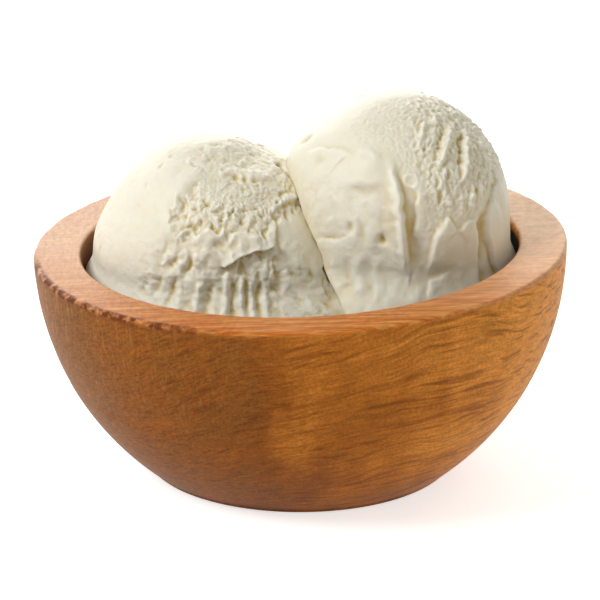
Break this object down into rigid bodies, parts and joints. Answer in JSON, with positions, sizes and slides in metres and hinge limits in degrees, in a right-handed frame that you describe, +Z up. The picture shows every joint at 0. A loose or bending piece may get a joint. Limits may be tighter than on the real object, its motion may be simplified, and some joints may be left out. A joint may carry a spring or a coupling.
{
  "type": "bowl of ice cream",
  "caption": "Round turned wooden bowl with a thick flat rim, holding scoops of pale vanilla ice cream side by side.",
  "frame": {"origin": "middle of the bowl's flat foot, on the surface that it stands on", "axes": "+Z up out of the bowl's mouth; -Y is the front, from where the lower scoop is on the left (-X) and the higher one on the right (+X); the rim's face rises slightly towards +X"},
  "size_m": [0.1299, 0.13, 0.0933],
  "materials": {
    "bowl_wood": "satin",
    "ice_cream": "matte"
  },
  "bodies": {
    "root": {"bowl": "bowl_wood", "scoop_left": "ice_cream", "scoop_right": "ice_cream"}
  },
  "joints": []
}
